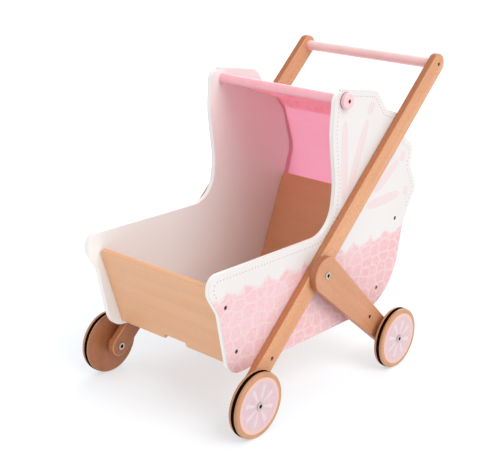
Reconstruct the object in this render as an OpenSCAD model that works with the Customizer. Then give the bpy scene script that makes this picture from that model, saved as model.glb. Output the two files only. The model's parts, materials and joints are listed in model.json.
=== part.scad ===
// Doll stroller: a painted bed between two wing-shaped side panels, a fabric hood
// on a dowel, a beech push frame and four wheels that turn freely.
// X runs across the stroller, -Y is its front, +Z is up and the floor is z = 0.
// Side-view points are [y, z]: y counts back from the front axle, z up from the floor.

/* [Push frame] */
// Distance from the front axle to the rear axle
wheelbase = 402; // [380:1:420]
// How far the handle is behind the front axle
handle_back = 540; // [500:1:560]
// Height of the handle's axis
handle_h = 577; // [560:1:620]
// Diameter of the handle dowel
handle_d = 20; // [14:1:28]
// Width of an arm
arm_w = 40; // [32:1:48]
// Thickness of an arm and of a leg
arm_t = 15; // [12:0.5:20]
// Distance of the pivot bolt from the front axle, along the arm
pivot_along = 264; // [240:1:290]
// How far the pivot bolt is below the arm's centre line
pivot_drop = 4; // [0:0.5:8]
// Radius of the leg's end at the pivot bolt
leg_top_r = 34; // [28:1:36]
// Radius of the leg's end at the wheel
leg_foot_r = 22; // [18:1:26]

/* [Wheels] */
// Outer diameter over the rubber ring
wheel_d = 120; // [100:1:130]
// Thickness of the wooden wheel
wheel_t = 18.5; // [14:0.5:24]
// Width of the rubber ring
ring_w = 4.5; // [3:0.5:7]
// Depth of the groove that holds the ring
ring_depth = 6; // [3:0.5:9]
// Length of the spacer between the frame and a wheel
spacer_len = 10; // [6:0.5:12]

/* [Bed] */
// Width of the bed over the side panels
bed_w = 300; // [260:1:340]
// Thickness of the side panels
panel_t = 9; // [6:0.5:12]
// Thickness of the front, back and floor boards
board_t = 9; // [6:0.5:12]
// Height of the side panels' lower edge
bed_bottom = 109; // [104:1:112]
// Height of the low sides of the bed
side_h = 302; // [290:1:310]
// Height of the side panels at the hood
hood_h = 557; // [552:1:565]
// Lean of the front board
front_lean = 19; // [10:1:24]
// Lean of the back board
back_lean = 20; // [10:1:24]
// Length of the front board, from its lower to its upper edge
front_len = 163; // [140:1:170]
// Length of the back board, from its lower to its upper edge
back_len = 211; // [180:1:220]

/* [Hood] */
// Diameter of the hood dowel
hood_dowel_d = 18; // [12:1:22]
// Diameter of a hood knob
knob_d = 29; // [20:1:30]
// Thickness of a hood knob
knob_t = 10; // [6:0.5:14]
// Thickness of the fabric solid
fabric_t = 2.4; // [2:0.2:4]

/* [Fasteners] */
// Diameter of the bolt and nut heads
bolt_head_d = 14; // [12:0.5:17]
// Thickness of the bolt and nut heads
bolt_head_t = 2; // [1.5:0.25:3]
// Outer diameter of the sleeve nuts
sleeve_d = 8; // [7:0.5:10]
// Diameter of the bolt shanks
bolt_d = 6; // [5:0.5:6]
// Diameter of the wood screws' heads
screw_head_d = 8; // [6:0.5:10]
// Diameter of the wood screws' shanks
screw_d = 4; // [3:0.5:5]

/* [Hidden] */
$fn = 96;

beech = [0.91, 0.69, 0.48];
panel_white = [0.95, 0.93, 0.91];
dowel_pink = [0.98, 0.72, 0.76];
steel = [0.75, 0.75, 0.76];

// Clearances
running_gap = 0.05; // radial, where a wheel turns on its sleeve
axial_gap = 0.2;    // beside a turning wheel
fabric_gap = 0.5;   // between the hood and the panels

wheel_r = wheel_d / 2;
nose_y = -84;       // the side panels' front end
front_axle_y = -(handle_back + arm_w / 2 + nose_y) / 2;
bed_in = bed_w / 2 - panel_t;
arm_in = bed_w / 2;
arm_out = arm_in + arm_t;
leg_out = arm_out + arm_t;

// Side-view places of the joints and screws
front_axle = [0, wheel_r];
rear_axle = [wheelbase, wheel_r];
handle = [handle_back, handle_h];
arm_dir = unit(handle - front_axle);
pivot = front_axle + pivot_along * arm_dir + pivot_drop * [arm_dir.y, -arm_dir.x];
hood_dowel_at = [258, hood_h - 16];
floor_mid = 117;    // height of the floor board's mid-plane
floor_front = 13;
floor_back = 382;
arm_screw_at = [64, floor_mid];
leg_screw_at = [338, floor_mid];
front_screw = [-13, 151]; // the front board's lower screw
back_screw = [400, 151];  // the back board's lower screw
board_edge = 35;    // from a board's edge to its nearest screw
board_corner_r = 12;
notch = [52, 9];    // finger notch in the front board's lower edge

screw_head_t = 2.6;
screw_sink = 0.5;   // how deep a screw's head sits below the surface
board_screw_len = 32;
arm_screw_len = 48;
leg_screw_len = 62;
dowel_screw_len = 42;
spacer_d = 18;
leg_spacer_d = 16;
socket_d = 6.5;     // hex sockets in the bolts and nuts
socket_deep = 0.8 * bolt_head_t;
wheel_edge_r = 3;

// Each corner of the side panel's outline is [y, z, radius], clockwise from the nose
panel_corners = [
  [nose_y, side_h, 22],           // nose
  [237, side_h, 56],              // low side to hood
  [244, side_h + 84, 110],        // the hood's front edge swells
  [227, hood_h - 75, 150],        // and draws back in
  [229, hood_h, 16],              // front corner of the hood's top
  [249, hood_h, 1.5],             // small step up over the dowel
  [250, hood_h + 6, 4],
  [358, hood_h - 10, 28],         // first wing lobe
  [393, 507, 16],
  [448, 490, 32],                 // second wing lobe
  [463, 443, 14],
  [497, 424, 26],                 // third wing lobe
  [489, 384, 16],
  [518, 336, 24],                 // fourth wing lobe
  [479, 270, 60],
  [453, bed_bottom, 112],         // rear lower corner
  [-30, bed_bottom, 38],          // front lower corner
  [-59, 229, 10],
  [nose_y, 268, 26]               // below the nose
];

// The hood fabric's line from its dowel back, down and behind the back board
fabric_line = [
  [269, 536, 0],
  [423, 484, 60],
  [451, 459, 22],
  [485, 372, 60],
  [470, 312, 30],
  [451, 262, 0]
];

function unit(v) = v / norm(v);
function side(v) = [-v.y, v.x];
function turned(v, a) = [v.x * cos(a) - v.y * sin(a), v.x * sin(a) + v.y * cos(a)];

// Points of the arc of radius r that rounds corner b on the way from a to c
function arc_points(a, b, c, r) =
  let(u = unit(a - b),
      w = unit(c - b),
      half = acos(u * w) / 2,
      centre = b + unit(u + w) * r / sin(half),
      start = b + u * r / tan(half) - centre,
      turn = (u.x * w.y - u.y * w.x > 0 ? -1 : 1) * (180 - 2 * half),
      steps = max(2, ceil(abs(turn) / 7)))
  [for (i = [0:steps]) centre + turned(start, turn * i / steps)];

function flat(p) = [p.x, p.y];

// A closed outline from corners [y, z, radius]
function outline(corners) =
  let(n = len(corners))
  [for (i = [0:n - 1])
    each arc_points(flat(corners[(i + n - 1) % n]), flat(corners[i]),
                    flat(corners[(i + 1) % n]), corners[i][2])];

// An open line from points [y, z, radius], its two ends kept sharp
function rounded_line(path) =
  let(last = len(path) - 1)
  concat([flat(path[0])],
         [for (i = [1:last - 1])
           each arc_points(flat(path[i - 1]), flat(path[i]), flat(path[i + 1]), path[i][2])],
         [flat(path[last])]);

// The line moved sideways by d
function beside(line, d) =
  let(last = len(line) - 1)
  [for (i = [0:last])
    line[i] + d * side(unit(line[min(i + 1, last)] - line[max(i - 1, 0)]))];

function reversed(list) = [for (i = [len(list) - 1:-1:0]) list[i]];

// A point of a leaning board, d above its lower screw
function up_board(screw, lean, d) = screw + d * [sin(lean), cos(lean)];

// Draws its children in side view and makes them a plate from x0 outwards
module plate(x0, thick) {
  translate([x0, front_axle_y, 0])
    rotate([90, 0, 90])
      linear_extrude(thick)
        children();
}

// Turns its children's Z axis to +X and puts them at side-view point at
module along_x(at, x0) {
  translate([x0, front_axle_y + at.x, at.y])
    rotate([0, 90, 0])
      children();
}

module both_sides() {
  children();
  mirror([1, 0, 0]) children();
}

module x_hole(at, x0, x1, d) {
  along_x(at, x0) cylinder(h = x1 - x0, d = d);
}

// A wood screw from its head at x0 towards the stroller's middle; gap widens it to a bore
module wood_screw(at, x0, len, gap = 0) {
  sink = gap > 0 ? screw_sink + 1 : 0;
  head_r = screw_head_d / 2 + gap;
  shank_r = screw_d / 2 + gap;
  along_x(at, x0 - screw_sink)
    mirror([0, 0, 1])
      rotate_extrude()
        polygon([[0, -sink], [head_r, -sink], [head_r, 0], [shank_r, screw_head_t],
                 [shank_r, len], [0, len]]);
}

module hex_socket(depth) {
  cylinder(h = depth, d = socket_d / cos(30), $fn = 6);
}

module screw_socket(at, x0) {
  along_x(at, x0 - screw_sink - 1.8) cylinder(h = 4, d = 4 / cos(30), $fn = 6);
}

module socket_screw(at, x0, len) {
  difference() {
    wood_screw(at, x0, len);
    screw_socket(at, x0);
  }
}

// Points of a circle's arc about p, from angle a0 to a1
function arc_about(p, r, a0, a1) =
  let(steps = ceil(abs(a1 - a0) / 5))
  [for (i = [0:steps]) let(a = a0 + (a1 - a0) * i / steps) p + r * [cos(a), sin(a)]];

// Outline of a bar with round ends of radius r0 at p0 and r1 at p1
function round_bar(p0, p1, r0, r1) =
  let(along = p1 - p0,
      a = atan2(along.y, along.x),
      b = acos((r0 - r1) / norm(along)))
  concat(arc_about(p0, r0, a + b, a + 360 - b), arc_about(p1, r1, a - b, a + b));

// ---- Bed ----

function board_screws_at() = [
  front_screw,
  up_board(front_screw, -front_lean, front_len - 2 * board_edge),
  back_screw,
  up_board(back_screw, back_lean, back_len - 2 * board_edge)
];

module side_panel() {
  difference() {
    plate(bed_in, panel_t) polygon(outline(panel_corners));
    for (at = board_screws_at()) wood_screw(at, bed_w / 2, board_screw_len, running_gap);
    x_hole(arm_screw_at, bed_in - 1, arm_in + 1, screw_d + 2 * running_gap);
    x_hole(leg_screw_at, bed_in - 1, arm_in + 1, screw_d + 2 * running_gap);
    x_hole(hood_dowel_at, bed_in - 1, arm_in + 1, screw_d + 2 * running_gap);
  }
}

module right_side_panel() {
  color(panel_white) side_panel();
}

module left_side_panel() {
  color(panel_white) mirror([1, 0, 0]) side_panel();
}

// A board between the panels, leaning by lean about its lower screw line
module leaning_board(screw, lean, length) {
  half = bed_in - board_corner_r;
  top = length - board_edge;
  translate([0, front_axle_y + screw.x, screw.y])
    rotate([-lean, 0, 0])
      translate([0, board_t / 2, 0])
        rotate([90, 0, 0])
          linear_extrude(board_t)
            difference() {
              union() {
                translate([-bed_in, -board_edge]) square([2 * bed_in, length - board_corner_r]);
                translate([-half, -board_edge]) square([2 * half, length]);
                for (x = [-half, half]) translate([x, top - board_corner_r]) circle(board_corner_r);
              }
              children();
            }
}

module front_board() {
  color(beech)
    difference() {
      leaning_board(front_screw, -front_lean, front_len)
        translate([-notch.x / 2, -board_edge - 1]) square([notch.x, notch.y + 1]);
      both_sides()
        for (i = [0:1]) wood_screw(board_screws_at()[i], bed_w / 2, board_screw_len, running_gap);
    }
}

module back_board() {
  color(beech)
    difference() {
      leaning_board(back_screw, back_lean, back_len);
      both_sides()
        for (i = [2:3]) wood_screw(board_screws_at()[i], bed_w / 2, board_screw_len, running_gap);
    }
}

module floor_board() {
  color(beech)
    difference() {
      translate([-bed_in, front_axle_y + floor_front, floor_mid - board_t / 2])
        cube([2 * bed_in, floor_back - floor_front, board_t]);
      both_sides() {
        wood_screw(arm_screw_at, arm_out, arm_screw_len, running_gap);
        wood_screw(leg_screw_at, leg_out, leg_screw_len, running_gap);
      }
    }
}

module board_screws() {
  color(steel)
    both_sides()
      for (at = board_screws_at()) socket_screw(at, bed_w / 2, board_screw_len);
}

// ---- Hood ----

module hood_fabric() {
  line = rounded_line(fabric_line);
  half_w = bed_in - fabric_gap;
  color([0.96, 0.6, 0.72])
    plate(-half_w, 2 * half_w)
      polygon(concat(beside(line, fabric_t / 2), reversed(beside(line, -fabric_t / 2))));
}

module hood_dowel() {
  color(dowel_pink)
    difference() {
      along_x(hood_dowel_at, -bed_in) cylinder(h = 2 * bed_in, d = hood_dowel_d);
      both_sides() wood_screw(hood_dowel_at, arm_in + knob_t, dowel_screw_len, running_gap);
    }
}

module hood_knob() {
  edge = 2.5;
  r = knob_d / 2;
  difference() {
    along_x(hood_dowel_at, arm_in)
      rotate_extrude() {
        square([r - edge, knob_t]);
        square([r, knob_t - edge]);
        translate([r - edge, knob_t - edge]) circle(edge);
      }
    wood_screw(hood_dowel_at, arm_in + knob_t, dowel_screw_len, running_gap);
  }
}

module right_hood_knob() {
  color(dowel_pink) hood_knob();
}

module left_hood_knob() {
  color(dowel_pink) mirror([1, 0, 0]) hood_knob();
}

module hood_screws() {
  color(steel) both_sides() socket_screw(hood_dowel_at, arm_in + knob_t, dowel_screw_len);
}

// ---- Push frame ----

module arm() {
  difference() {
    plate(arm_in, arm_t) polygon(round_bar(front_axle, handle, arm_w / 2, arm_w / 2));
    x_hole(front_axle, arm_in - 1, arm_out + 1, sleeve_d + 2 * running_gap);
    x_hole(pivot, arm_in - 1, arm_out + 1, sleeve_d + 2 * running_gap);
    x_hole(pivot, arm_in - 1, arm_in + bolt_head_t, bolt_head_d + 2 * running_gap);
    wood_screw(handle, arm_out, dowel_screw_len, running_gap);
    wood_screw(arm_screw_at, arm_out, arm_screw_len, running_gap);
  }
}

module right_arm() {
  color(beech) arm();
}

module left_arm() {
  color(beech) mirror([1, 0, 0]) arm();
}

module handle_dowel() {
  color(dowel_pink)
    difference() {
      along_x(handle, -arm_in) cylinder(h = 2 * arm_in, d = handle_d);
      both_sides() wood_screw(handle, arm_out, dowel_screw_len, running_gap);
    }
}

module handle_screws() {
  color(steel) both_sides() socket_screw(handle, arm_out, dowel_screw_len);
}

module leg() {
  difference() {
    plate(arm_out, arm_t) polygon(round_bar(pivot, rear_axle, leg_top_r, leg_foot_r));
    x_hole(pivot, arm_out - 1, leg_out + 1, sleeve_d + 2 * running_gap);
    x_hole(rear_axle, arm_out - 1, leg_out + 1, sleeve_d + 2 * running_gap);
    wood_screw(leg_screw_at, leg_out, leg_screw_len, running_gap);
  }
}

module right_leg() {
  color(beech) leg();
}

module left_leg() {
  color(beech) mirror([1, 0, 0]) leg();
}

// Blocks that fill the arm's thickness between the bed and each leg
module leg_spacers() {
  color(beech)
    both_sides()
      difference() {
        along_x(leg_screw_at, arm_in) cylinder(h = arm_t, d = leg_spacer_d);
        x_hole(leg_screw_at, arm_in - 1, arm_out + 1, screw_d + 2 * running_gap);
      }
}

module arm_screws() {
  color(steel) both_sides() socket_screw(arm_screw_at, arm_out, arm_screw_len);
}

module leg_screws() {
  color(steel) both_sides() socket_screw(leg_screw_at, leg_out, leg_screw_len);
}

// A bolt whose head sits on the plane x1 and whose shank runs back by len
module bolt(at, x1, len) {
  along_x(at, x1)
    difference() {
      union() {
        rotate_extrude()
          polygon([[0, 0], [bolt_head_d / 2, 0], [bolt_head_d / 2, bolt_head_t - 0.7],
                   [bolt_head_d / 2 - 1.2, bolt_head_t], [0, bolt_head_t]]);
        translate([0, 0, -len]) cylinder(h = len + 0.5, d = bolt_d);
      }
      translate([0, 0, bolt_head_t - socket_deep]) hex_socket(socket_deep + 1);
    }
}

// A sleeve nut whose head ends on the plane x0 and whose sleeve runs on by len
module sleeve_nut(at, x0, len) {
  along_x(at, x0)
    difference() {
      union() {
        translate([0, 0, -bolt_head_t]) cylinder(h = bolt_head_t, d = bolt_head_d);
        cylinder(h = len, d = sleeve_d);
      }
      translate([0, 0, 4]) cylinder(h = len, d = bolt_d);
      translate([0, 0, -bolt_head_t - 1]) hex_socket(socket_deep + 1);
    }
}

module pivot_bolts() {
  color(steel) both_sides() bolt(pivot, leg_out, 20);
}

module pivot_nuts() {
  color(steel) both_sides() sleeve_nut(pivot, arm_in + bolt_head_t, 2 * arm_t - bolt_head_t - 0.5);
}

// ---- Wheels ----

// Length from the frame's inner face to the plane under the axle bolt's head
axle_len = arm_t + spacer_len + wheel_t + 2 * axial_gap;

module axle_bolts() {
  color(steel)
    both_sides() {
      bolt(front_axle, arm_in + axle_len, 24);
      bolt(rear_axle, arm_out + axle_len, 24);
    }
}

module axle_nuts() {
  color(steel)
    both_sides() {
      sleeve_nut(front_axle, arm_in, axle_len);
      sleeve_nut(rear_axle, arm_out, axle_len);
    }
}

module axle_spacer(at, x0) {
  along_x(at, x0)
    difference() {
      cylinder(h = spacer_len, d = spacer_d);
      translate([0, 0, -1]) cylinder(h = spacer_len + 2, d = sleeve_d + 2 * running_gap);
    }
}

module axle_spacers() {
  color(beech)
    both_sides() {
      axle_spacer(front_axle, arm_out);
      axle_spacer(rear_axle, leg_out);
    }
}

// Section of a round-edged disc from height z0 to z1
module disc_section(r, z0, z1) {
  e = wheel_edge_r;
  translate([0, z0]) square([r - e, z1 - z0]);
  translate([0, z0 + e]) square([r, z1 - z0 - 2 * e]);
  for (z = [z0 + e, z1 - e]) translate([r - e, z]) circle(e);
}

plate_r = wheel_r - 0.5;
inner_plate_t = 6.5;
wheel_in = axial_gap; // from the spacer to the wheel

module wheel(at, x0) {
  along_x(at, x0 + wheel_in)
    difference() {
      rotate_extrude() {
        disc_section(plate_r, 0, inner_plate_t);
        disc_section(plate_r, inner_plate_t + ring_w, wheel_t);
        square([wheel_r - ring_depth, wheel_t - wheel_edge_r]);
      }
      translate([0, 0, -1]) cylinder(h = wheel_t + 2, d = sleeve_d + 2 * running_gap);
    }
}

module tyre(at, x0) {
  along_x(at, x0 + wheel_in + inner_plate_t)
    rotate_extrude()
      translate([wheel_r - ring_depth, 0])
        square([ring_depth, ring_w]);
}

front_x = arm_out + spacer_len;
rear_x = leg_out + spacer_len;

module front_right_wheel() {
  color(beech) wheel(front_axle, front_x);
}

module front_right_tyre() {
  color("black") tyre(front_axle, front_x);
}

module front_left_wheel() {
  color(beech) mirror([1, 0, 0]) wheel(front_axle, front_x);
}

module front_left_tyre() {
  color("black") mirror([1, 0, 0]) tyre(front_axle, front_x);
}

module rear_right_wheel() {
  color(beech) wheel(rear_axle, rear_x);
}

module rear_right_tyre() {
  color("black") tyre(rear_axle, rear_x);
}

module rear_left_wheel() {
  color(beech) mirror([1, 0, 0]) wheel(rear_axle, rear_x);
}

module rear_left_tyre() {
  color("black") mirror([1, 0, 0]) tyre(rear_axle, rear_x);
}

right_side_panel();
left_side_panel();
front_board();
back_board();
floor_board();
hood_fabric();
hood_dowel();
right_hood_knob();
left_hood_knob();
hood_screws();
right_arm();
left_arm();
handle_dowel();
handle_screws();
right_leg();
left_leg();
leg_spacers();
pivot_bolts();
pivot_nuts();
arm_screws();
leg_screws();
board_screws();
axle_nuts();
axle_bolts();
axle_spacers();
front_right_wheel();
front_right_tyre();
front_left_wheel();
front_left_tyre();
rear_right_wheel();
rear_right_tyre();
rear_left_wheel();
rear_left_tyre();
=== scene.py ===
import json
import math

import bmesh
import bpy
from mathutils import Matrix, Vector, noise


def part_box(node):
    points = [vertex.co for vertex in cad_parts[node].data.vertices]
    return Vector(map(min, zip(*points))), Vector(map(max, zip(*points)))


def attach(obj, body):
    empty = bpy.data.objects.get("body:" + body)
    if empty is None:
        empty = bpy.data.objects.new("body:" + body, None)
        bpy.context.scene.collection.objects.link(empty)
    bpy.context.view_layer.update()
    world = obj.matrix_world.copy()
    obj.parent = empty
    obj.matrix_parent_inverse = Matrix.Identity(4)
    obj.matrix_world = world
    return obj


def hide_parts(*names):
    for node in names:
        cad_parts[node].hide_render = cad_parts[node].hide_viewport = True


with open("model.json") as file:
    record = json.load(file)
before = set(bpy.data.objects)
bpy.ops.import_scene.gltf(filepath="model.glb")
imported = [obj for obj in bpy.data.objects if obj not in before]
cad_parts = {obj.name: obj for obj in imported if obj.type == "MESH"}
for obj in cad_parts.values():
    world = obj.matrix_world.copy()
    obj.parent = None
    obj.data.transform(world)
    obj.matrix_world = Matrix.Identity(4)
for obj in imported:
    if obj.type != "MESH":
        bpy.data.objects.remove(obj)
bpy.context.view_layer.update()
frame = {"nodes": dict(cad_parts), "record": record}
nodes = frame["nodes"]
record = frame["record"]
slot_of = {s["node"]: s["material_slot"] for s in record["subparts"]}
body_of = {n: body for body, members in record["behaviour"]["bodies"].items() for n in members}
MM = 0.001

# The front axle's place, which the side-view measures below count from
FRONT_AXLE_Y = sum(corner.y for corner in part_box("front_right_wheel")) / 2


def centre_of(node):
    """The middle of a CAD node's box"""
    low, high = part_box(node)
    return (low + high) / 2


def side_place(y, z, x=0.0):
    """A point given in side-view millimetres behind the front axle and above the floor"""
    return Vector((x * MM, FRONT_AXLE_Y + y * MM, z * MM))


# ---- Node trees ----

class Shader:
    """A material's node tree, with a short call for each node used here"""

    def __init__(self, name):
        self.mat = bpy.data.materials.new(name)
        self.mat.use_nodes = True
        self.tree = self.mat.node_tree
        self.bsdf = self.tree.nodes["Principled BSDF"]
        self.place = self.add("ShaderNodeTexCoord").outputs["Object"]

    def add(self, kind, **settings):
        node = self.tree.nodes.new(kind)
        for key, value in settings.items():
            setattr(node, key, value)
        return node

    def put(self, socket, value):
        """Links value to the socket if it is an output, or else sets it there"""
        if isinstance(value, bpy.types.NodeSocket):
            self.tree.links.new(value, socket)
        elif hasattr(value, "__len__") and len(value) == 3 and socket.type == "RGBA":
            socket.default_value = (*value, 1.0)
        else:
            socket.default_value = value

    def set(self, **values):
        """Sets or links the main shader's sockets"""
        for key, value in values.items():
            self.put(self.bsdf.inputs[key.replace("_", " ")], value)

    def calc(self, operation, a, b=0.0, clamp=False):
        node = self.add("ShaderNodeMath", operation=operation, use_clamp=clamp)
        self.put(node.inputs[0], a)
        self.put(node.inputs[1], b)
        return node.outputs[0]

    def plus(self, a, b):
        return self.calc("ADD", a, b)

    def minus(self, a, b):
        return self.calc("SUBTRACT", a, b)

    def times(self, a, b):
        return self.calc("MULTIPLY", a, b)

    def size(self, a):
        return self.calc("ABSOLUTE", a)

    def vector(self, operation, a, b=(0, 0, 0)):
        node = self.add("ShaderNodeVectorMath", operation=operation)
        self.put(node.inputs[0], a)
        self.put(node.inputs[1], b)
        return node.outputs["Value" if operation in ("LENGTH", "DOT_PRODUCT") else "Vector"]

    def scaled(self, a, by):
        return self.vector("MULTIPLY", a, by)

    def off_axis(self, hub):
        """The vector to each place from the line along X through hub, square to that line"""
        return self.scaled(self.vector("SUBTRACT", self.place, hub), (0, 1, 1))

    def turned(self, a, axis, angle):
        node = self.add("ShaderNodeVectorRotate", rotation_type="AXIS_ANGLE")
        self.put(node.inputs["Vector"], a)
        node.inputs["Axis"].default_value = axis
        node.inputs["Angle"].default_value = angle
        return node.outputs[0]

    def xyz(self, a):
        node = self.add("ShaderNodeSeparateXYZ")
        self.put(node.inputs[0], a)
        return node.outputs

    def noise(self, a, scale, detail=2.0, roughness=0.5):
        node = self.add("ShaderNodeTexNoise")
        self.put(node.inputs["Vector"], a)
        node.inputs["Scale"].default_value = scale
        node.inputs["Detail"].default_value = detail
        node.inputs["Roughness"].default_value = roughness
        return node.outputs["Fac"]

    def spread(self, value, low, high, to_low=0.0, to_high=1.0):
        """value taken from low..high to to_low..to_high, and held there"""
        node = self.add("ShaderNodeMapRange", interpolation_type="SMOOTHSTEP")
        for socket, v in zip(node.inputs, (value, low, high, to_low, to_high)):
            self.put(socket, v)
        return node.outputs[0]

    def mix(self, amount, a, b):
        node = self.add("ShaderNodeMix", data_type="RGBA")
        self.put(node.inputs[0], amount)
        self.put(node.inputs[6], a)
        self.put(node.inputs[7], b)
        return node.outputs[2]

    def bump(self, height, distance):
        node = self.add("ShaderNodeBump")
        self.put(node.inputs["Height"], height)
        node.inputs["Distance"].default_value = distance
        return node.outputs[0]


# ---- Beech ----

# Each wood is its light and dark grain and its flecks
ARM_BEECH = ((0.69, 0.33, 0.158), (0.61, 0.27, 0.12), (0.44, 0.175, 0.072))
LEG_BEECH = ((0.62, 0.29, 0.148), (0.545, 0.237, 0.112), (0.38, 0.15, 0.068))
BOARD_BEECH = ((0.80, 0.425, 0.225), (0.77, 0.40, 0.21), (0.71, 0.36, 0.18))
WHEEL_BEECH = ((0.57, 0.275, 0.135), (0.50, 0.23, 0.105), (0.39, 0.165, 0.07))
# Painted shade: the floor board's beech is darker because it lies in shade inside the body
SHADED_FLOOR_BEECH = ((0.50, 0.23, 0.11), (0.44, 0.19, 0.09), (0.33, 0.13, 0.06))
# Painted shade: darker beech for the wheels' inner faces, which face into the shade under the body
SHADED_BACK_BEECH = ((0.40, 0.145, 0.055), (0.335, 0.115, 0.042), (0.24, 0.075, 0.028))

# Scales of the broad and fine grain and of the flecks, and how far they are drawn out
BROAD_GRAIN = 42.0
FINE_GRAIN = 420.0
FLECKS = 950.0
GRAIN_DRAWN = 0.06
FLECKS_DRAWN = 0.22

# Painted shade on an arm's or leg's narrow faces, and on its foot on the inner side below FOOT_Z
NARROW_SHADE = (0.75, 0.58, 0.48)
NARROW_FADE = (0.0004, 0.0026)
FOOT_SHADE = (0.58, 0.46, 0.38)
FOOT_SKIN = (0.0006, 0.0002)
FOOT_Z = 0.105
FOOT_FADE = 0.02


def beech_colour(s, wood, grain, angle):
    """Colour and height of beech whose grain runs along grain, turned by angle about X"""
    light, dark, flecks = wood
    v = s.turned(s.place, (1, 0, 0), -angle) if angle else s.place
    thin = [1.0, 1.0, 1.0]
    thin["xyz".index(grain)] = GRAIN_DRAWN
    streaks = s.scaled(v, tuple(thin))
    thin["xyz".index(grain)] = FLECKS_DRAWN
    short = s.scaled(v, tuple(thin))
    broad = s.noise(streaks, BROAD_GRAIN, 3.0, 0.55)
    fine = s.noise(streaks, FINE_GRAIN, 3.0, 0.6)
    fleck = s.noise(short, FLECKS, 1.0, 0.5)
    colour = s.mix(s.spread(broad, 0.32, 0.70), light, dark)
    colour = s.mix(s.spread(fine, 0.45, 0.75, 0.0, 0.30), colour, dark)
    colour = s.mix(s.spread(fleck, 0.54, 0.68, 0.0, 0.65), colour, flecks)
    height = s.minus(s.times(fine, 0.5), s.spread(fleck, 0.58, 0.72))
    return colour, height, broad


def beech(name, wood, grain, angle=0.0, bar=None):
    """Oiled beech; bar names an arm or a leg, whose narrow faces and inner foot get painted shade
    """
    s = Shader(name)
    colour, height, broad = beech_colour(s, wood, grain, angle)
    if bar:
        low, high = (corner.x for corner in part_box(bar))
        start, end = NARROW_FADE
        across = s.size(s.xyz(s.place)[0])
        # Painted shade on the narrow faces
        narrow = s.times(s.spread(across, low + start, low + end),
                         s.spread(across, high - start, high - end))
        colour = s.mix(narrow, colour, s.scaled(colour, NARROW_SHADE))
        # Painted shade on the inner side of the foot, low under the body
        start, end = FOOT_SKIN
        foot = s.times(s.spread(across, low + start, low + end),
                       s.spread(s.xyz(s.place)[2], FOOT_Z + FOOT_FADE, FOOT_Z))
        colour = s.mix(foot, colour, s.scaled(colour, FOOT_SHADE))
    s.set(Base_Color=colour, Roughness=s.spread(broad, 0.3, 0.7, 0.36, 0.46),
          Normal=s.bump(height, 0.00006), Coat_Weight=0.12, Coat_Roughness=0.25)
    return s.mat


# ---- Paint and print ----

RING_PITCH = 0.0029
KNOB_SHADOW = (0.20, 0.07, 0.08)
KNOB_SHADOW_FADE = (0.0022, 0.0012)


def painted(name, colour, mottled, ring_axis=None):
    """Satin paint on turned wood, with faint turned rings if ring_axis is a point on the axis"""
    s = Shader(name)
    tone = s.noise(s.place, 60.0, 3.0)
    peel = s.noise(s.place, 900.0, 2.0)
    height = peel
    shade = s.spread(tone, 0.3, 0.7, 0.0, 0.8)
    if ring_axis is not None:
        radius = s.vector("LENGTH", s.off_axis(ring_axis))
        rings = s.calc("SINE", s.times(radius, 2 * math.pi / RING_PITCH))
        height = s.plus(s.times(rings, 1.6), peel)
        shade = s.plus(s.spread(rings, -0.7, 0.7, 0.0, 0.85), s.times(shade, 0.15))
    paint = s.mix(shade, colour, mottled)
    if ring_axis is not None:
        across = s.size(s.xyz(s.place)[0])
        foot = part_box("right_hood_knob")[0].x
        start, end = KNOB_SHADOW_FADE
        paint = s.mix(s.spread(across, foot + start, foot + end), paint, KNOB_SHADOW)
    s.set(Base_Color=paint, Roughness=s.spread(peel, 0.3, 0.7, 0.32, 0.42),
          Normal=s.bump(height, 0.00008), Coat_Weight=0.15, Coat_Roughness=0.2)
    return s.mat


PAPER_WHITE = (0.725, 0.685, 0.665)
DULL_WHITE = (0.705, 0.665, 0.645)
# Painted light: the narrow edges are whiter than the face
LIT_EDGE_WHITE = (0.92, 0.89, 0.85)
# Painted light: the inner faces are whiter than the outer face
LIT_INNER_WHITE = (0.87, 0.865, 0.845)
# Painted pink light from the hood cloth on the inner faces under the hood
HOOD_LIGHT_PINK = (0.85, 0.77, 0.755)
PRINT_PETAL = (0.735, 0.595, 0.585)
PRINT_CELL = (0.755, 0.465, 0.48)
PRINT_CELL_DEEP = (0.75, 0.36, 0.365)
PRINT_LINE = (0.76, 0.575, 0.58)
PRINT_THREAD = (0.52, 0.33, 0.38)

# Depths below a panel's outer face: where a print fades in, and where the panel's narrow edge
# and its inner face begin
PRINT_SKIN = (0.0004, 0.0001)
EDGE_DEPTH = (0.0006, 0.0022)
INNER_DEPTH = (0.0070, 0.0080)
# Heights between which the inner white turns to the painted pink light under the hood
HOOD_LIGHT_FADE = (0.30, 0.43)

# Each petal of the print is its two ends and its width, in side-view millimetres
PETALS = [
    ((262, 503), (272, 352), 21),
    ((332, 496), (284, 366), 21),
    ((445, 400), (372, 352), 19),
    ((456, 333), (348, 328), 20),
    ((346, 526), (336, 506), 19),
    ((463, 414), (457, 397), 20),
    ((482, 342), (477, 326), 20),
]

# The printed cells' scale, how regular they are, and how far they are drawn out and bent
CELL_SCALE = 44.0
CELL_RANDOMNESS = 0.72
CELL_DRAWN = 0.80
CELL_BEND = 0.008
# The printed zone's upper edge: its height in millimetres, then its spikes, waves and fade in
# metres, and the depth of the deeper pink below it
ZONE_TOP = 246
SPIKE_STEP = 50 * MM
SPIKE_HEIGHT = 0.013
EDGE_WAVE = 0.012
ZONE_FADE = 0.0065
TOP_DEPTH = 0.022
# The zone's low deeper part, which leans with the panel's lower edge
LOW_LEAN = 0.25
LOW_FADE = (0.235, 0.165)


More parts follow.
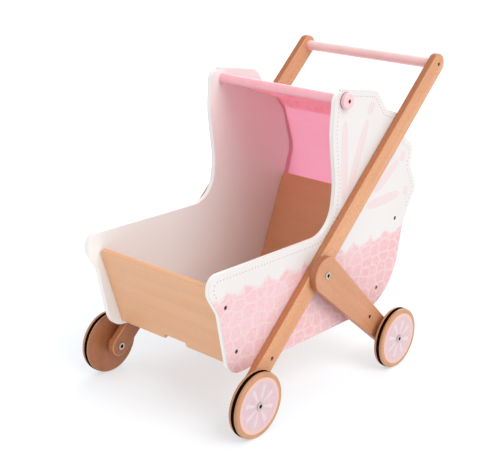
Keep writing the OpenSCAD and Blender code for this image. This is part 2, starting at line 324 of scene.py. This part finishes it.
def petal_mask(s):
    petals = 0.0
    for (y0, z0), (y1, z1), width in PETALS:
        centre = side_place((y0 + y1) / 2, (z0 + z1) / 2)
        lean = math.atan2(z1 - z0, y1 - y0)
        v = s.turned(s.vector("SUBTRACT", s.place, centre), (1, 0, 0), -lean)
        half = (math.hypot(y1 - y0, z1 - z0) / 2 + 1) * MM
        reach = s.scaled(v, (0, 1 / half, 2 / (width * MM)))
        _, along, across = s.xyz(s.vector("ABSOLUTE", reach))
        size = s.plus(s.calc("POWER", along, 3.0), s.calc("POWER", across, 2.4))
        petals = s.calc("MAXIMUM", petals, s.spread(size, 1.10, 0.88))
    return petals


def zone_print(s, y, z):
    """The mask and the colour of the printed cells"""
    flat = s.add("ShaderNodeCombineXYZ")
    warp = s.noise(s.place, 28.0, 1.0)
    s.put(flat.inputs[0], s.plus(s.times(y, CELL_DRAWN), s.times(warp, CELL_BEND)))
    s.put(flat.inputs[1], z)
    cells, edges = (s.add("ShaderNodeTexVoronoi", voronoi_dimensions="2D", feature=feature)
                    for feature in ("F1", "DISTANCE_TO_EDGE"))
    for node in (cells, edges):
        s.put(node.inputs["Vector"], flat.outputs[0])
        node.inputs["Scale"].default_value = CELL_SCALE
        node.inputs["Randomness"].default_value = CELL_RANDOMNESS
    turns = s.plus(s.times(y, 1 / SPIKE_STEP), s.times(warp, 0.9))
    ridge = s.size(s.minus(s.times(s.calc("FRACT", turns), 2.0), 1.0))
    rough = s.noise(s.place, 95.0, 3.0, 0.6)
    edge = s.plus(s.times(s.calc("POWER", ridge, 1.9), SPIKE_HEIGHT), s.times(rough, EDGE_WAVE))
    below = s.minus(s.plus(edge, ZONE_TOP * MM), z)
    zone = s.spread(below, -ZONE_FADE, ZONE_FADE)
    near_top = s.spread(below, TOP_DEPTH, 0.0)
    line = s.spread(edges.outputs["Distance"], 0.15, 0.02, 0.0, 0.66)
    cell_tone = s.xyz(cells.outputs["Color"])[0]
    low = s.spread(s.minus(z, s.times(y, LOW_LEAN)), *LOW_FADE)
    deep = s.plus(s.times(cell_tone, 0.30), s.times(low, 0.75))
    deep = s.calc("ADD", deep, s.times(near_top, 0.22), clamp=True)
    mottle = s.noise(s.place, 230.0, 4.0, 0.7)
    worn = s.spread(mottle, 0.38, 0.62, 0.0, 0.60)
    cell = s.mix(worn, s.mix(deep, PRINT_CELL, PRINT_CELL_DEEP), PRINT_LINE)
    return zone, s.mix(line, cell, PRINT_LINE)


def panel_paint(name):
    """White satin paint, with the pale pink print on the flat outer face only, painted light on
    the narrow edges and inner faces, and painted pink light under the hood
    """
    s = Shader(name)
    x, y, z = s.xyz(s.place)
    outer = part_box("right_side_panel")[1].x

    def at_depth(depths):
        return s.spread(s.size(x), outer - depths[0], outer - depths[1])

    on_face = at_depth(PRINT_SKIN)
    petals = petal_mask(s)
    zone, printed = zone_print(s, y, z)
    grime = s.noise(s.place, 9.0, 3.0)
    white = s.mix(s.spread(grime, 0.3, 0.75), PAPER_WHITE, DULL_WHITE)
    # Painted light on the narrow edges
    white = s.mix(at_depth(EDGE_DEPTH), white, LIT_EDGE_WHITE)
    # Painted light on the inner faces, pink under the hood
    hood_light = s.mix(s.spread(z, *HOOD_LIGHT_FADE), LIT_INNER_WHITE, HOOD_LIGHT_PINK)
    white = s.mix(at_depth(INNER_DEPTH), white, hood_light)
    colour = s.mix(s.times(petals, on_face), white, PRINT_PETAL)
    colour = s.mix(s.times(zone, on_face), colour, printed)
    peel = s.noise(s.place, 700.0, 2.0)
    s.set(Base_Color=colour, Roughness=s.spread(peel, 0.3, 0.7, 0.34, 0.44),
          Normal=s.bump(peel, 0.00004), Coat_Weight=0.08, Coat_Roughness=0.3)
    return s.mat


RAYS = 8
RAY_TURN = math.radians(18)
MAUVE = (0.645, 0.46, 0.48)
MAUVE_DEEP = (0.60, 0.42, 0.45)
RAY_PINK = (0.70, 0.58, 0.585)
RING_PINK = (0.72, 0.455, 0.40)
# How far from a wheel's inner face its painted shade reaches
BACK_SHADE_FADE = (0.0030, 0.0020)


def wheel_print(name, node, side):
    """Beech with the pale printed disc on the wheel's outer face and painted shade on its inner
    face
    """
    s = Shader(name)
    low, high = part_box(node)
    radius_all = (high.z - low.z) / 2
    face, back = (high.x, low.x) if side > 0 else (-low.x, -high.x)
    colour, height, broad = beech_colour(s, WHEEL_BEECH, "z", 0.0)
    back_shade_colour = beech_colour(s, SHADED_BACK_BEECH, "z", 0.0)[0]
    outward = s.times(s.xyz(s.place)[0], side)
    in_back_shade = s.spread(outward, back + BACK_SHADE_FADE[0], back + BACK_SHADE_FADE[1])
    colour = s.mix(in_back_shade, colour, back_shade_colour)
    around = s.off_axis(centre_of(node))
    radius = s.vector("LENGTH", around)
    _, y, z = s.xyz(around)

    def at_share(start, end):
        """A mask that goes from 0 to 1 between two shares of the wheel's radius"""
        return s.spread(radius, start * radius_all, end * radius_all)

    on_face = s.spread(outward, face - PRINT_SKIN[0], face - PRINT_SKIN[1])
    disc = s.times(on_face, at_share(0.86, 0.845))
    ring = at_share(0.71, 0.775)
    angle = s.plus(s.calc("ARCTAN2", z, y), RAY_TURN)
    swing = s.calc("COSINE", s.times(angle, RAYS))
    ray = s.times(s.spread(swing, 0.25, 0.95, 0.0, 0.75),
                  s.times(at_share(0.16, 0.26), at_share(0.68, 0.56)))
    mottle = s.noise(s.place, 120.0, 3.0, 0.6)
    mauve = s.mix(ray, s.mix(s.spread(mottle, 0.3, 0.7), MAUVE, MAUVE_DEEP), RAY_PINK)
    colour = s.mix(disc, colour, s.mix(ring, mauve, RING_PINK))
    s.set(Base_Color=colour, Roughness=s.spread(broad, 0.3, 0.7, 0.36, 0.46),
          Normal=s.bump(height, 0.00005), Coat_Weight=0.12, Coat_Roughness=0.25)
    return s.mat


def ink(name, colour):
    """Flat ink, slightly lighter in specks"""
    s = Shader(name)
    speck = s.noise(s.place, 1200.0, 2.0)
    light = tuple(min(1.0, c * 1.12) for c in colour)
    s.set(Base_Color=s.mix(s.spread(speck, 0.3, 0.7), colour, light), Roughness=0.5)
    return s.mat


# ---- Rubber, steel and cloth ----

RUBBER_BLACK = (0.004, 0.002, 0.0015)
RUBBER_DUST = (0.012, 0.008, 0.006)
# Painted shade in the bolts' sockets
SOCKET_SHADE = (0.02, 0.018, 0.016)
SOCKET_EDGE = (0.0039, 0.0035)


def rubber(name):
    """Dusty black rubber without a gloss"""
    s = Shader(name)
    dust = s.noise(s.place, 240.0, 4.0, 0.65)
    s.set(Base_Color=s.mix(s.spread(dust, 0.35, 0.75), RUBBER_BLACK, RUBBER_DUST),
          Roughness=s.spread(dust, 0.3, 0.7, 0.75, 0.95), Normal=s.bump(dust, 0.00005),
          Specular_IOR_Level=0.0)
    return s.mat


def steel(name, dull, bright, hubs=()):
    """Plated steel; hubs are points on the axes of bolts, whose sockets get painted shade"""
    s = Shader(name)
    scratch = s.noise(s.scaled(s.place, (0.2, 1.0, 1.0)), 1500.0, 2.0)
    colour = s.mix(scratch, dull, bright)
    for hub in hubs:
        radius = s.vector("LENGTH", s.off_axis(hub))
        colour = s.mix(s.spread(radius, *SOCKET_EDGE), colour, SOCKET_SHADE)
    s.set(Base_Color=colour, Metallic=1.0, Roughness=s.spread(scratch, 0.3, 0.7, 0.22, 0.38),
          Normal=s.bump(scratch, 0.00003))
    return s.mat


CLOTH_PINK = (1.0, 0.66, 0.76)
CLOTH_DEEP = (1.0, 0.59, 0.70)
BAND_SHADE_PINK = (0.98, 0.54, 0.62)
HEM_PINK = (1.0, 0.46, 0.58)
GATHER_SHADE_PINK = (0.93, 0.36, 0.46)
THREAD_PITCH = 0.0009
# The gathered band, painted darker as shade, is the cloth above this height, in millimetres
BAND_Z = 461
HEM_FADE = (0.0034, 0.0022)
# The share of light that passes through the cloth, and how much less it is at the hems
THROUGH = 0.78
HEM_LOSS = 0.70


def cloth(name):
    """Plain-woven cotton that lets some of the light from behind through, with painted shade on
    the top band and in its gathers
    """
    s = Shader(name)
    x, y, z = s.xyz(s.place)
    thread = 2 * math.pi / THREAD_PITCH
    warp = s.calc("SINE", s.times(x, thread))
    weft = s.calc("SINE", s.times(s.minus(y, z), thread))
    weave = s.times(warp, weft)
    slub = s.noise(s.scaled(s.place, (0.25, 1.0, 1.0)), 260.0, 3.0, 0.6)
    tone = s.plus(s.spread(slub, 0.3, 0.75, 0.0, 0.5), s.spread(weave, -1.0, 1.0, 0.0, 0.3))
    colour = s.mix(tone, CLOTH_PINK, CLOTH_DEEP)
    band = s.spread(z, (BAND_Z - 1) * MM, (BAND_Z + 1) * MM)
    gathers = s.noise(s.scaled(s.place, (1.0, 0.45, 0.45)), 80.0, 2.0, 0.5)
    # Painted shade, deeper in the band's gathers
    band_shade = s.mix(s.spread(gathers, 0.46, 0.70, 0.0, 0.6), BAND_SHADE_PINK, GATHER_SHADE_PINK)
    # Painted shade on the top band
    colour = s.mix(band, colour, band_shade)
    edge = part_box("hood_fabric")[1].x
    hem = s.spread(s.size(x), edge - HEM_FADE[0], edge - HEM_FADE[1])
    colour = s.mix(hem, colour, HEM_PINK)
    height = s.plus(s.times(weave, 0.6), slub)
    height = s.plus(height, s.times(s.times(gathers, band), 9.0))
    bump = s.bump(height, 0.0002)
    s.set(Base_Color=colour, Roughness=0.85, Normal=bump, Sheen_Weight=0.3, Sheen_Roughness=0.5)
    through = s.add("ShaderNodeBsdfTranslucent")
    s.put(through.inputs["Color"], colour)
    s.put(through.inputs["Normal"], bump)
    both = s.add("ShaderNodeMixShader")
    s.put(both.inputs[0], s.minus(THROUGH, s.times(hem, HEM_LOSS)))
    s.put(both.inputs[1], s.bsdf.outputs[0])
    s.put(both.inputs[2], through.outputs[0])
    s.put(s.tree.nodes["Material Output"].inputs["Surface"], both.outputs[0])
    return s.mat


# ---- Pieces ----

def add_piece(name, mesh, material, body, replaced=()):
    """Puts a mesh in the scene as a visual piece that moves with a body"""
    piece = bpy.data.objects.new(name, mesh)
    bpy.context.scene.collection.objects.link(piece)
    mesh.materials.clear()
    mesh.materials.append(material)
    if replaced:
        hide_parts(*replaced)
    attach(piece, body)
    return piece


def mesh_from(bm, name):
    """Ends the work on a mesh and hands it over under a name"""
    mesh = bpy.data.meshes.new(name)
    bm.to_mesh(mesh)
    bm.free()
    return mesh


def edge_groups(edges):
    """Edges in groups that hang together, in the same order each run"""
    left = dict.fromkeys(edges)
    groups = []
    while left:
        group = [left.popitem()[0]]
        for edge in group:
            for near in (e for v in edge.verts for e in v.link_edges):
                if near in left:
                    del left[near]
                    group.append(near)
        groups.append(group)
    return groups


def extent(edges):
    """Longest side of the box round some edges"""
    places = [v.co for e in edges for v in e.verts]
    return max(max(p[i] for p in places) - min(p[i] for p in places) for i in range(3))


JOINED = 1e-6
FLAT = math.radians(0.5)
SHARP = math.radians(40)
# A group of edges larger than this is a piece's outline, and a smaller one is a screw hole's rim
OUTLINE_SIZE = 60 * MM


def clean_copy(node):
    """A CAD node's mesh with its vertices joined and its flat faces whole"""
    bm = bmesh.new()
    bm.from_mesh(nodes[node].data)
    bmesh.ops.remove_doubles(bm, verts=bm.verts, dist=JOINED)
    bmesh.ops.dissolve_limit(bm, angle_limit=FLAT, verts=bm.verts, edges=bm.edges)
    return bm


def sort_faces(bm):
    """Orders the faces by their vertices, because a bevel leaves them in a chance order"""
    bm.verts.index_update()
    n = len(bm.verts)

    def rank(face):
        a, b, c = sorted(v.index for v in face.verts)[:3]
        return (a * n + b) * n + c

    bm.faces.sort(key=rank)


def rounded(node, name, material, radius):
    """Stands for a wooden CAD node, with its outer edges rounded and its holes as they are"""
    bm = clean_copy(node)
    sharp = [e for e in bm.edges if len(e.link_faces) == 2 and e.calc_face_angle(0) > SHARP]
    outer = [e for group in edge_groups(sharp) if extent(group) > OUTLINE_SIZE for e in group]
    bmesh.ops.bevel(bm, geom=outer, offset=radius * MM, segments=4, profile=0.5, affect="EDGES",
                    clamp_overlap=True)
    bmesh.ops.triangulate(bm, faces=[f for f in bm.faces if len(f.verts) > 4])
    sort_faces(bm)
    mesh = mesh_from(bm, name)
    mesh.shade_smooth()
    mesh.set_sharp_from_angle(angle=SHARP)
    piece = add_piece(name, mesh, material, body_of[node], [node])
    normals = piece.modifiers.new("Flat faces", "WEIGHTED_NORMAL")
    normals.keep_sharp = True
    return piece


def face_outline(node, x):
    """The outline of a panel's flat face at x, as side-view points in metres

    The points go round from the lowest one, and from the foremost of several that low
    """
    bm = clean_copy(node)
    rim = [e for e in bm.edges
           if all(abs(v.co.x - x) < 10 * JOINED for v in e.verts) and e.calc_face_angle(0) > SHARP]
    loop = max(edge_groups(rim), key=extent)
    edge = loop.pop()
    start, at = edge.verts
    points = [start.co.copy(), at.co.copy()]
    while loop:
        edge = next(e for e in at.link_edges if e in loop)
        loop.remove(edge)
        at = edge.other_vert(at)
        points.append(at.co.copy())
    bm.free()
    points = [(p.y, p.z) for p in points[:-1]]
    area = sum(a[0] * b[1] - b[0] * a[1] for a, b in zip(points, points[1:] + points[:1]))
    points = points if area > 0 else points[::-1]
    first = min(range(len(points)), key=lambda i: (round(points[i][1], 5), points[i][0]))
    return points[first:] + points[:first]


def resample(points, step, closed=True):
    """Points step apart along a line through the given ones"""
    ends = points[1:] + points[:1] if closed else points[1:]
    out = []
    carry = 0.0
    for a, b in zip(points, ends):
        a, b = Vector(a), Vector(b)
        length = (b - a).length
        while carry < length:
            out.append(a + (b - a) * (carry / length))
            carry += step
        carry -= length
    return out


def inset_line(points, depth):
    """A closed line inset by depth, without the places where it would cross itself"""
    dense = resample(points, 1.5 * MM)
    n = len(dense)
    line = []
    for i, p in enumerate(dense):
        ahead = (dense[(i + 2) % n] - dense[i - 2]).normalized()
        q = p + depth * Vector((-ahead.y, ahead.x))
        if min((q - o).length for o in dense) > depth * 0.985:
            line.append(q)
    return line


# All in millimetres: the stitches' inset and pitch, a stitch's outline along and across the
# line, and its lower and upper side against the panel's face
STITCH_INSET = 12
STITCH_PITCH = 7.8
STITCH = ((-1.4, -0.5), (-0.9, -0.95), (0.9, -0.95), (1.4, -0.5),
          (1.4, 0.5), (0.9, 0.95), (-0.9, 0.95), (-1.4, 0.5))
STITCH_SIDES = (-0.1, 0.08)
# Longer steps than this cross a gap in the line
LINE_GAP = 12
# The line ends at these heights above the printed zone: in front of REAR_EDGE, and behind it
LINE_FOOT = 262
LINE_FOOT_REAR = 298
REAR_EDGE = 400


def stitches(node, name, side):
    """The printed line of stitches, inset from the panel's outline down to the printed zone"""
    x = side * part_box("right_side_panel")[1].x
    line = inset_line(face_outline(node, x), STITCH_INSET * MM)
    lowest = min(range(len(line)), key=lambda i: line[i].y)
    dots = resample(line[lowest:] + line[:lowest], STITCH_PITCH * MM, closed=False)
    bm = bmesh.new()
    for a, b in zip(dots, dots[1:]):
        foot = LINE_FOOT_REAR if a.x > FRONT_AXLE_Y + REAR_EDGE * MM else LINE_FOOT
        if a.y < foot * MM or (b - a).length > LINE_GAP * MM:
            continue
        along = (b - a).normalized()
        across = Vector((-along.y, along.x))
        corners = [a + along * u * MM + across * w * MM for u, w in STITCH]
        under, over = ([bm.verts.new((x + side * h * MM, c.x, c.y)) for c in corners]
                       for h in STITCH_SIDES)
        bm.faces.new(under)
        bm.faces.new(over)
        for i in range(len(STITCH)):
            j = (i + 1) % len(STITCH)
            bm.faces.new((under[i], under[j], over[j], over[i]))
    bmesh.ops.recalc_face_normals(bm, faces=bm.faces)
    return add_piece(name, mesh_from(bm, name), THREAD_INK, body_of[node])


# ---- Hood ----

# The hood's line in side view: place behind the front axle, height and corner radius
HOOD_LINE = [
    (268, 535, 0),
    (423, 484, 40),
    (451, 459, 5),
    (485, 372, 60),
    (470, 312, 30),
    (452, 264, 0),
]
# All in millimetres: the cloth's thickness, the hem's width and the radius of its turn, how
# far the edges stay inside the CAD fabric's, and the step between rows along the hood's line
CLOTH_T = 0.9
HEM = 14.0
HEM_TURN = 3.0
EDGE_GAP = 0.3
ROW_STEP = 4.0
# Columns of points: down a hem, round its turn, and across the cloth
HEM_COLUMNS = 6
TURN_COLUMNS = 3
CLOTH_COLUMNS = 70
# Places along the hood's line, in millimetres: where the sag ends, the crease's and the seam's
# middle, and where the cloth's wall starts
SAG_END = 165
CREASE_AT = 178
SEAM_AT = 184
WALL_START = 195


def rounded_path(corners, step):
    """A side-view line with rounded corners, as points about step apart"""
    points = [Vector(corners[0][:2])]
    for before, here, after in zip(corners, corners[1:], corners[2:]):
        b = Vector(here[:2])
        u = (Vector(before[:2]) - b).normalized()
        w = (Vector(after[:2]) - b).normalized()
        half = u.angle(w) / 2
        reach = here[2] / math.tan(half)
        p, q = b + u * reach, b + w * reach
        for i in range(13):
            t = i / 12
            points.append(p * (1 - t) ** 2 + b * 2 * t * (1 - t) + q * t ** 2)
    points.append(Vector(corners[-1][:2]))
    return resample([tuple(p) for p in points], step, closed=False) + [points[-1]]


def smooth(t):
    """t held to 0..1, with a soft start and end"""
    t = max(0.0, min(1.0, t))
    return t * t * (3 - 2 * t)


def hood_inward(x, s, length, half):
    """How far the cloth stands into the hood at x across it and s along it, in millimetres"""
    edge = smooth((half - abs(x)) / 45)
    gather = 1 - smooth(s / 120)
    ripple = math.sin(x * 0.23 + 1.3 * math.sin(x * 0.05)) + 0.6 * math.sin(x * 0.41 + 2.0)
    fine = noise.noise(Vector((x * 0.09, s * 0.035, 7.1)))
    inward = gather * (0.9 * ripple + 2.2 * fine) * min(1.0, s / 12)
    top_sag = 5.0 * edge * math.sin(math.pi * min(1.0, s / SAG_END)) * (s < SAG_END)
    wall = max(0.0, min(1.0, (s - WALL_START) / (length - WALL_START)))
    billow = -3.5 * edge * math.sin(math.pi * wall)
    slow = noise.noise(Vector((x * 0.012, s * 0.016, 3.7)))
    crease = 1.6 * smooth(1 - abs(s - CREASE_AT) / 30) * noise.noise(Vector((x * 0.06, 1.0, 0.5)))
    seam = 1.3 * smooth(1 - abs(s - SEAM_AT) / 7)
    return inward + top_sag + billow + 2.0 * edge * slow + crease + seam


def hood_columns(half):
    """The cloth's columns of points: each one's x, and how deep it stands in a turned-in hem"""
    columns = []
    last = HEM_COLUMNS - 1
    for i in range(HEM_COLUMNS):
        columns.append((-half, HEM - (HEM - HEM_TURN) * i / last))
    for i in range(1, TURN_COLUMNS + 1):
        a = math.radians(90 / TURN_COLUMNS * i)
        columns.append((-half + HEM_TURN * (1 - math.cos(a)), HEM_TURN * (1 - math.sin(a))))
    edge = columns[:]
    for i in range(1, CLOTH_COLUMNS):
        columns.append((-half + HEM_TURN + 2 * (half - HEM_TURN) * i / CLOTH_COLUMNS, 0.0))
    return columns + [(-x, d) for x, d in reversed(edge)]


def hood():
    """One sheet from the dowel back and down behind the back board, its side hems turned in"""
    half = (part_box("hood_fabric")[1].x / MM) - EDGE_GAP
    path = rounded_path(HOOD_LINE, ROW_STEP)
    steps = len(path) - 1
    length = sum((b - a).length for a, b in zip(path, path[1:]))
    columns = hood_columns(half)
    bm = bmesh.new()
    grid = []
    s = 0.0
    for i, p in enumerate(path):
        if i:
            s += (p - path[i - 1]).length
        ahead = (path[min(i + 1, steps)] - path[max(i - 1, 0)]).normalized()
        inner = Vector((-ahead.y, ahead.x)) * -1
        # The hems are shut flat along the top, and open down the wall
        hem = (0.25 + 0.45 * smooth((s - 190) / 170)) * smooth((s - SAG_END) / 30)
        row = []
        for x, d in columns:
            wavy = 1 + 0.25 * noise.noise(Vector((x * 0.2, s * 0.05, 0.0)))
            depth = d * hem * wavy if d else hood_inward(x, s, length, half - HEM_TURN)
            q = p + inner * depth
            row.append(bm.verts.new(side_place(q.x, q.y, x)))
        grid.append(row)
    for a, b in zip(grid, grid[1:]):
        for j in range(len(a) - 1):
            bm.faces.new((a[j], a[j + 1], b[j + 1], b[j]))
    bmesh.ops.recalc_face_normals(bm, faces=bm.faces)
    mesh = mesh_from(bm, "hood_cloth_sheet")
    mesh.shade_smooth()
    piece = add_piece("hood_cloth_sheet", mesh, CLOTH, body_of["hood_fabric"],
                      ["hood_fabric"])
    thick = piece.modifiers.new("Cloth thickness", "SOLIDIFY")
    thick.thickness = CLOTH_T * MM
    thick.offset = 0.0
    fine = piece.modifiers.new("Smooth cloth", "SUBSURF")
    fine.levels = fine.render_levels = 1
    return piece


# ---- Camera, light and floor ----

CAMERA_PLACE = (1.194, -1.454, 0.895)
# The camera's azimuth, elevation and roll, in degrees
CAMERA_ANGLES = (40.37, 18.28, 1.74)
SENSOR_WIDTH = 36.0
LENS = 75.0
FLOOR_REACH = 30.0
FLOOR_WHITES = ((0.48, 0.51, 0.54), (0.49, 0.52, 0.55))
FLOOR_GLOW = (0.97, 0.985, 1.0, 1.0)
GLOW_STRENGTH = 0.52
WORLD_STRENGTH = 0.72
# Each sun is its name, its strength, the direction it stands in and its width in degrees
SUNS = (
    ("Key", 1.6, (0.72, -0.05, 0.69), 45),
    ("Back", 1.2, (-0.30, 0.86, 0.42), 60),
)


def make_camera():
    azimuth, elevation, roll = (math.radians(a) for a in CAMERA_ANGLES)
    back = Vector((math.sin(azimuth) * math.cos(elevation),
                   -math.cos(azimuth) * math.cos(elevation),
                   math.sin(elevation)))
    level = Vector((math.cos(azimuth), math.sin(azimuth), 0.0))
    above = back.cross(level)
    right = level * math.cos(roll) + above * math.sin(roll)
    up = above * math.cos(roll) - level * math.sin(roll)
    data = bpy.data.cameras.new("Camera")
    data.sensor_width = SENSOR_WIDTH
    data.lens = LENS
    camera = bpy.data.objects.new("Camera", data)
    turn = Matrix((right, up, back)).transposed().to_4x4()
    camera.matrix_world = Matrix.Translation(Vector(CAMERA_PLACE)) @ turn
    bpy.context.scene.collection.objects.link(camera)
    bpy.context.scene.camera = camera


def floor_paint(name):
    """White studio floor that glows a little, so shadows on it stay pale"""
    s = Shader(name)
    grain = s.noise(s.place, 3.0, 2.0)
    s.set(Base_Color=s.mix(grain, *FLOOR_WHITES), Roughness=0.9, Specular_IOR_Level=0.0,
          Emission_Color=FLOOR_GLOW, Emission_Strength=GLOW_STRENGTH)
    return s.mat


def make_stage():
    """The floor, the white world and two wide suns"""
    bm = bmesh.new()
    bmesh.ops.create_grid(bm, x_segments=1, y_segments=1, size=FLOOR_REACH)
    mesh = mesh_from(bm, "floor")
    floor = bpy.data.objects.new("floor", mesh)
    bpy.context.scene.collection.objects.link(floor)
    mesh.materials.append(floor_paint("Floor"))
    world = bpy.data.worlds.new("Studio")
    bpy.context.scene.world = world
    world.use_nodes = True
    background = world.node_tree.nodes["Background"]
    background.inputs["Color"].default_value = (1.0, 1.0, 1.0, 1.0)
    background.inputs["Strength"].default_value = WORLD_STRENGTH
    for name, energy, towards, angle in SUNS:
        sun = bpy.data.lights.new(name, "SUN")
        sun.energy = energy
        sun.angle = math.radians(angle)
        lamp = bpy.data.objects.new(name, sun)
        lamp.rotation_euler = Vector(towards).to_track_quat("Z", "Y").to_euler()
        bpy.context.scene.collection.objects.link(lamp)
    bpy.context.scene.view_settings.view_transform = "Standard"


# ---- Build ----

make_camera()
make_stage()

handle = centre_of("handle_dowel")
pivot = centre_of("pivot_bolts")
rear_hub = centre_of("rear_right_wheel")
front_hub = centre_of("front_right_wheel")
ARM_ANGLE = math.atan2(handle.z - front_hub.z, handle.y - front_hub.y)
LEG_ANGLE = math.atan2(rear_hub.z - pivot.z, rear_hub.y - pivot.y)

PANEL = panel_paint("Panel paint and print")
ARM_WOOD = beech("Beech arm", ARM_BEECH, "y", ARM_ANGLE, "right_arm")
LEG_WOOD = beech("Beech leg", LEG_BEECH, "y", LEG_ANGLE, "right_leg")
BOARD_WOOD = beech("Beech board", BOARD_BEECH, "x")
SHADED_FLOOR_WOOD = beech("Shaded beech floor", SHADED_FLOOR_BEECH, "x")
THREAD_INK = ink("Stitch ink", PRINT_THREAD)
CLOTH = cloth("Pink cotton")
BOLT_STEEL = steel("Zinc steel", (0.52, 0.48, 0.44), (0.66, 0.62, 0.57),
                   (pivot, front_hub, rear_hub))
SCREW_STEEL = steel("Dark screw steel", (0.14, 0.09, 0.075), (0.26, 0.18, 0.15))
RUBBER = rubber("Black rubber")
PINK = painted("Pink paint", (0.97, 0.47, 0.53), (0.95, 0.43, 0.49))
KNOB_PINK = painted("Knob paint", (0.95, 0.66, 0.67), (0.80, 0.35, 0.39),
                    centre_of("right_hood_knob"))
PALE_PINK = painted("Handle paint", (0.95, 0.66, 0.64), (0.93, 0.62, 0.60))

# Radii of the rounded edges, in millimetres
PANEL_ROUND = 2.8
BAR_ROUND = 3.0
BOARD_ROUND = 1.6

for side in ("right", "left"):
    sign = 1 if side == "right" else -1
    rounded(f"{side}_side_panel", f"{side}_panel_board", PANEL, PANEL_ROUND)
    stitches(f"{side}_side_panel", f"{side}_panel_stitch_print", sign)
    rounded(f"{side}_arm", f"{side}_arm_wood", ARM_WOOD, BAR_ROUND)
    rounded(f"{side}_leg", f"{side}_leg_wood", LEG_WOOD, BAR_ROUND)
    for end in ("front", "rear"):
        wheel = f"{end}_{side}_wheel"
        nodes[wheel].data.materials[0] = wheel_print(f"Wheel {end} {side}", wheel, sign)
        nodes[f"{end}_{side}_tyre"].data.materials[0] = RUBBER
rounded("front_board", "front_board_wood", BOARD_WOOD, BOARD_ROUND)
rounded("back_board", "back_board_wood", BOARD_WOOD, BOARD_ROUND)
hood()

plain = {"floor_board": SHADED_FLOOR_WOOD, "leg_spacers": BOARD_WOOD, "axle_spacers": BOARD_WOOD,
         "hood_dowel": PINK, "right_hood_knob": KNOB_PINK, "left_hood_knob": KNOB_PINK,
         "handle_dowel": PALE_PINK}
for node, material in plain.items():
    nodes[node].data.materials[0] = material
for node, slot in slot_of.items():
    if slot == "fastener_steel":
        nodes[node].data.materials[0] = SCREW_STEEL if node.endswith("screws") else BOLT_STEEL
